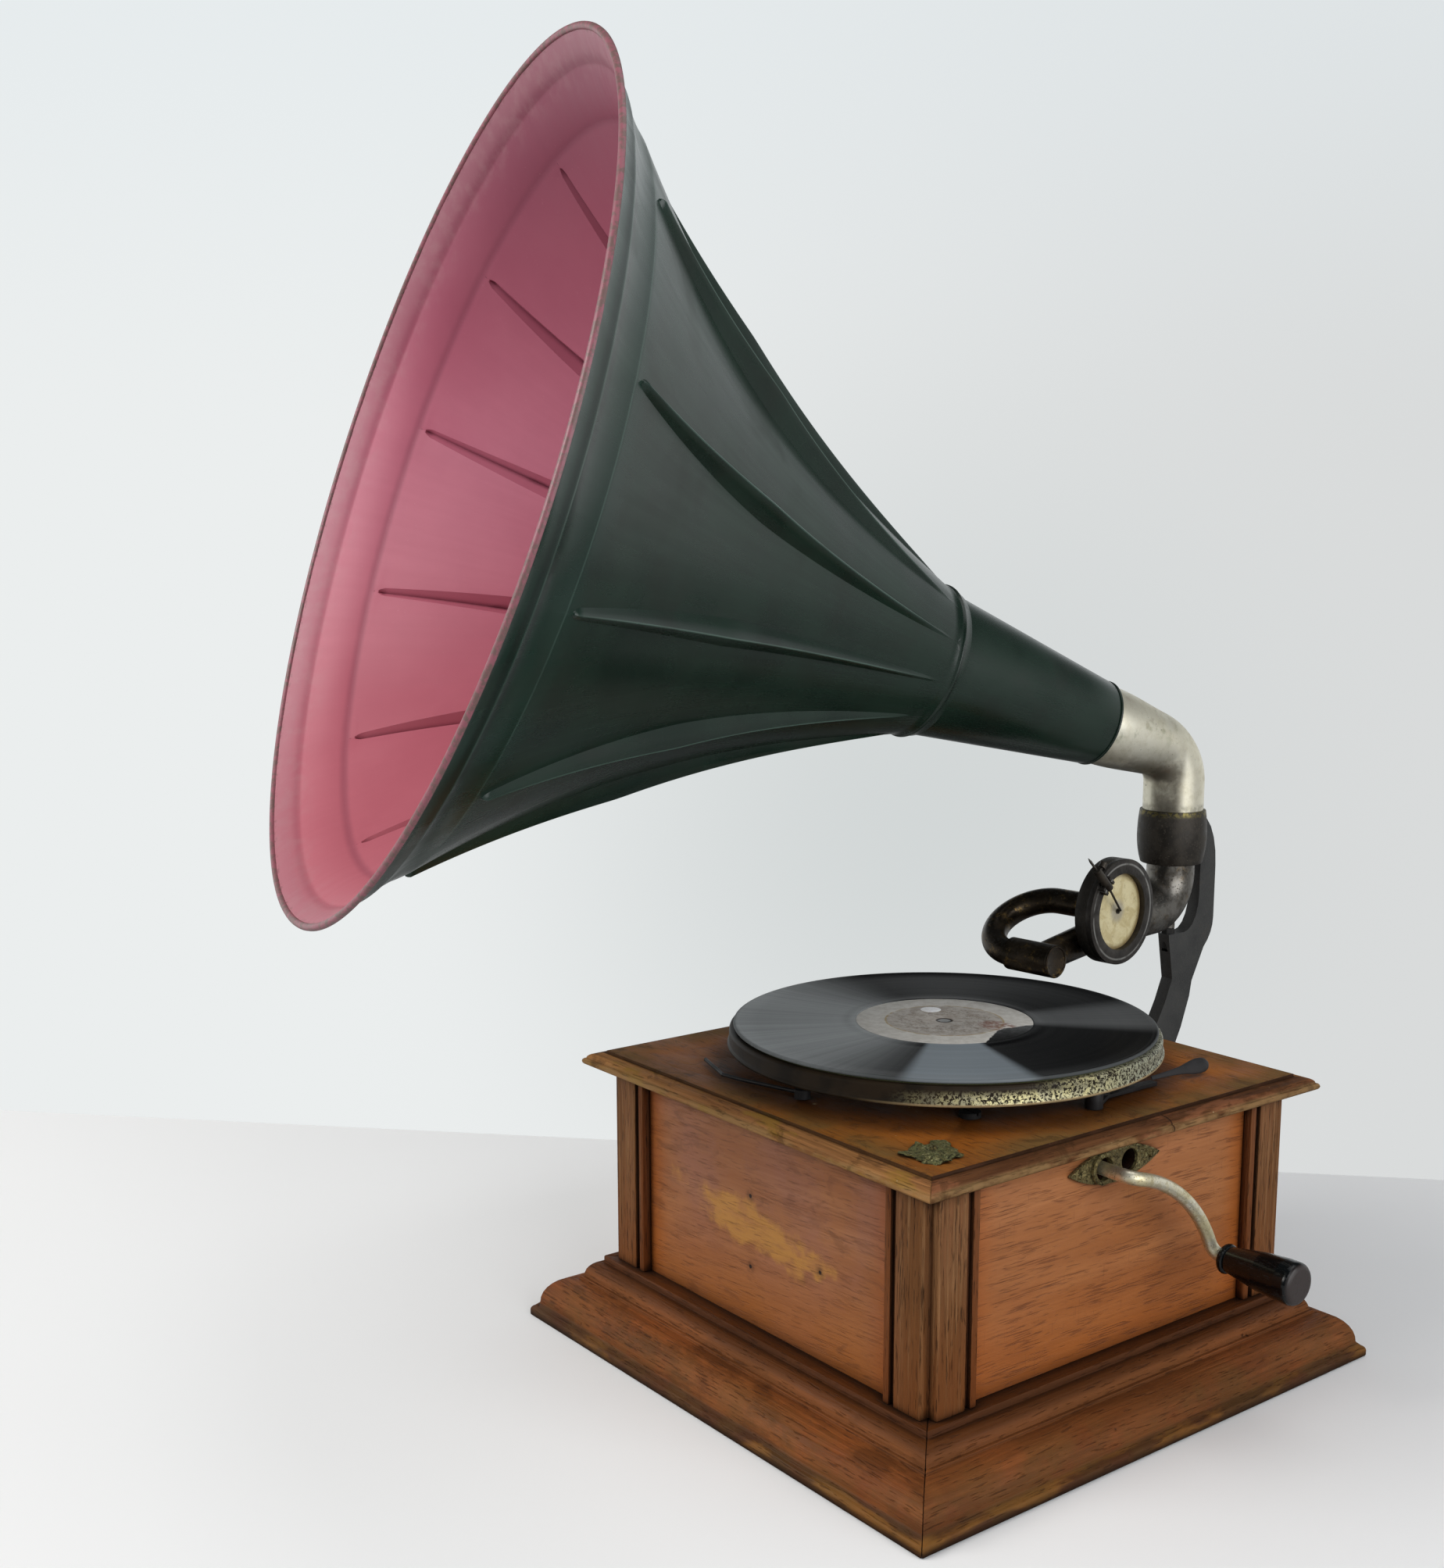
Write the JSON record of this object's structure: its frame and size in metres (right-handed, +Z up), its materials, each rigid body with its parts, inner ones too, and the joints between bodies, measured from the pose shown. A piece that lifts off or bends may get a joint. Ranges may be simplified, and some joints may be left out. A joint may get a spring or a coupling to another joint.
{
  "type": "horn gramophone",
  "caption": "Table gramophone with a flared horn on a swivelling elbow, a jointed tone arm, a turntable with a disc record and a square wooden case with a side crank and spring motor.",
  "frame": {"origin": "middle of the case's underside, on the surface that it stands on", "axes": "+Z up, -Y the front, +X the crank side"},
  "size_m": [0.5691, 0.6069, 0.7331],
  "materials": {
    "dark_wood": "satin",
    "panel_wood": "satin",
    "brass": "worn",
    "cast_iron": "matte",
    "collar_metal": "worn",
    "motor_steel": "satin",
    "gear_brass": "satin",
    "crank_nickel": "worn",
    "black_grip": "gloss",
    "lever_black": "satin",
    "pad_leather": "matte",
    "platter_metal": "worn",
    "felt": "matte",
    "shellac": "gloss",
    "elbow_nickel": "worn",
    "horn_paint": "gloss",
    "arm_bronze": "worn",
    "mica": "satin",
    "needle_steel": "satin"
  },
  "bodies": {
    "case": {"plinth_moulding": "dark_wood", "base_board": "panel_wood", "post_front_left": "dark_wood", "post_front_right": "dark_wood", "post_back_left": "dark_wood", "post_back_right": "dark_wood", "panel_front": "panel_wood", "panel_back": "panel_wood", "panel_left": "panel_wood", "panel_right": "panel_wood", "top_board": "dark_wood", "corner_plate": "brass", "crank_escutcheon": "brass", "brass_screws": "brass", "arm_support": "cast_iron", "support_bolts": "cast_iron", "arm_pivot_screw": "cast_iron", "horn_collar": "collar_metal", "motor_top_plate": "motor_steel", "motor_bottom_plate": "motor_steel", "motor_pillars": "motor_steel", "motor_bolts": "cast_iron", "winding_bearing": "motor_steel", "governor_bracket": "motor_steel", "brake_screw": "cast_iron"},
    "crank": {"crank_arm": "crank_nickel", "winding_shaft": "motor_steel"},
    "grip": {"crank_grip": "black_grip"},
    "arbor": {"barrel_arbor": "motor_steel", "winding_wheel": "gear_brass", "ratchet_wheel": "motor_steel"},
    "barrel": {"spring_barrel": "gear_brass", "barrel_cover": "gear_brass", "mainspring": "motor_steel"},
    "intermediate": {"intermediate_arbor": "gear_brass"},
    "turntable": {"turntable_spindle": "motor_steel", "worm_wheel": "gear_brass", "platter": "platter_metal", "platter_felt": "felt", "record": "shellac"},
    "governor": {"governor_shaft": "motor_steel", "governor_weights": "motor_steel", "governor_disc": "gear_brass"},
    "pawl": {"ratchet_pawl": "motor_steel"},
    "speed_control": {"speed_lever": "lever_black", "speed_pad": "pad_leather"},
    "brake": {"brake_lever": "lever_black"},
    "arm": {"tone_arm": "arm_bronze", "arm_end_cap": "arm_bronze"},
    "reproducer": {"gooseneck": "arm_bronze", "sound_box_shell": "arm_bronze", "sound_box_ring": "arm_bronze", "diaphragm": "mica", "stylus_bar": "needle_steel", "needle": "needle_steel"},
    "thumbscrew": {"needle_screw": "needle_steel"},
    "horn": {"horn_elbow": "elbow_nickel", "horn_neck": "horn_paint", "horn_bell": "horn_paint"}
  },
  "joints": [
    {"name": "crank_turn", "type": "hinge", "parent": "case", "child": "crank", "pos_m": [0.11, -0.014, 0.147], "axis": [1, 0, 0], "continuous": true},
    {"name": "crank_grip_spin", "type": "hinge", "parent": "crank", "child": "grip", "pos_m": [0.168, 0.05571, 0.08851], "axis": [1, 0, 0], "continuous": true},
    {"name": "arbor_turn", "type": "hinge", "parent": "case", "child": "arbor", "pos_m": [0.068, -0.014, 0.1], "axis": [0, 0, 1], "continuous": true},
    {"name": "turntable_spin", "type": "hinge", "parent": "case", "child": "turntable", "pos_m": [0, 0, 0.1], "axis": [0, 0, 1], "continuous": true},
    {"name": "intermediate_turn", "type": "hinge", "parent": "case", "child": "intermediate", "pos_m": [0.03853, 0.02325, 0.1], "axis": [0, 0, 1], "continuous": true},
    {"name": "barrel_turn", "type": "hinge", "parent": "case", "child": "barrel", "pos_m": [0.068, -0.014, 0.09], "axis": [0, 0, 1], "continuous": true},
    {"name": "governor_spin", "type": "hinge", "parent": "case", "child": "governor", "pos_m": [-0.0213, -0.035, 0.102], "axis": [0, 1, 0], "continuous": true},
    {"name": "pawl_lift", "type": "hinge", "parent": "case", "child": "pawl", "pos_m": [0.056, 0.00679, 0.133], "axis": [0, 0, 1], "range_deg": [0, 15]},
    {"name": "tone_arm_swing", "type": "hinge", "parent": "case", "child": "arm", "pos_m": [0, 0.201, 0.25], "axis": [0, 0, 1], "range_deg": [-16, 36]},
    {"name": "gooseneck_flip", "type": "hinge", "parent": "arm", "child": "reproducer", "pos_m": [0.01428, 0.06515, 0.2283], "axis": [0.9945, 0.1045, 0], "range_deg": [0, 123.4]},
    {"name": "needle_screw_turn", "type": "hinge", "parent": "reproducer", "child": "thumbscrew", "pos_m": [0.04102, 0.0853, 0.28244], "axis": [-0.0713, 0.6783, 0.7314], "range_deg": [-180, 180]},
    {"name": "horn_swivel", "type": "hinge", "parent": "case", "child": "horn", "pos_m": [0, 0.201, 0.32], "axis": [0, 0, 1], "continuous": true},
    {"name": "brake_turn", "type": "hinge", "parent": "case", "child": "brake", "pos_m": [0.106, 0.02, 0.173], "axis": [0, 0, 1], "range_deg": [0, 15]},
    {"name": "speed_turn", "type": "hinge", "parent": "case", "child": "speed_control", "pos_m": [0.005, -0.112, 0.14], "axis": [0, 0, 1], "range_deg": [0, 7]}
  ],
  "couplings": [
    {"joint": "arbor_turn", "follows": "crank_turn", "ratio": 0.33333},
    {"joint": "intermediate_turn", "follows": "turntable_spin", "ratio": -0.2},
    {"joint": "barrel_turn", "follows": "turntable_spin", "ratio": 0.0375},
    {"joint": "governor_spin", "follows": "turntable_spin", "ratio": 12}
  ]
}
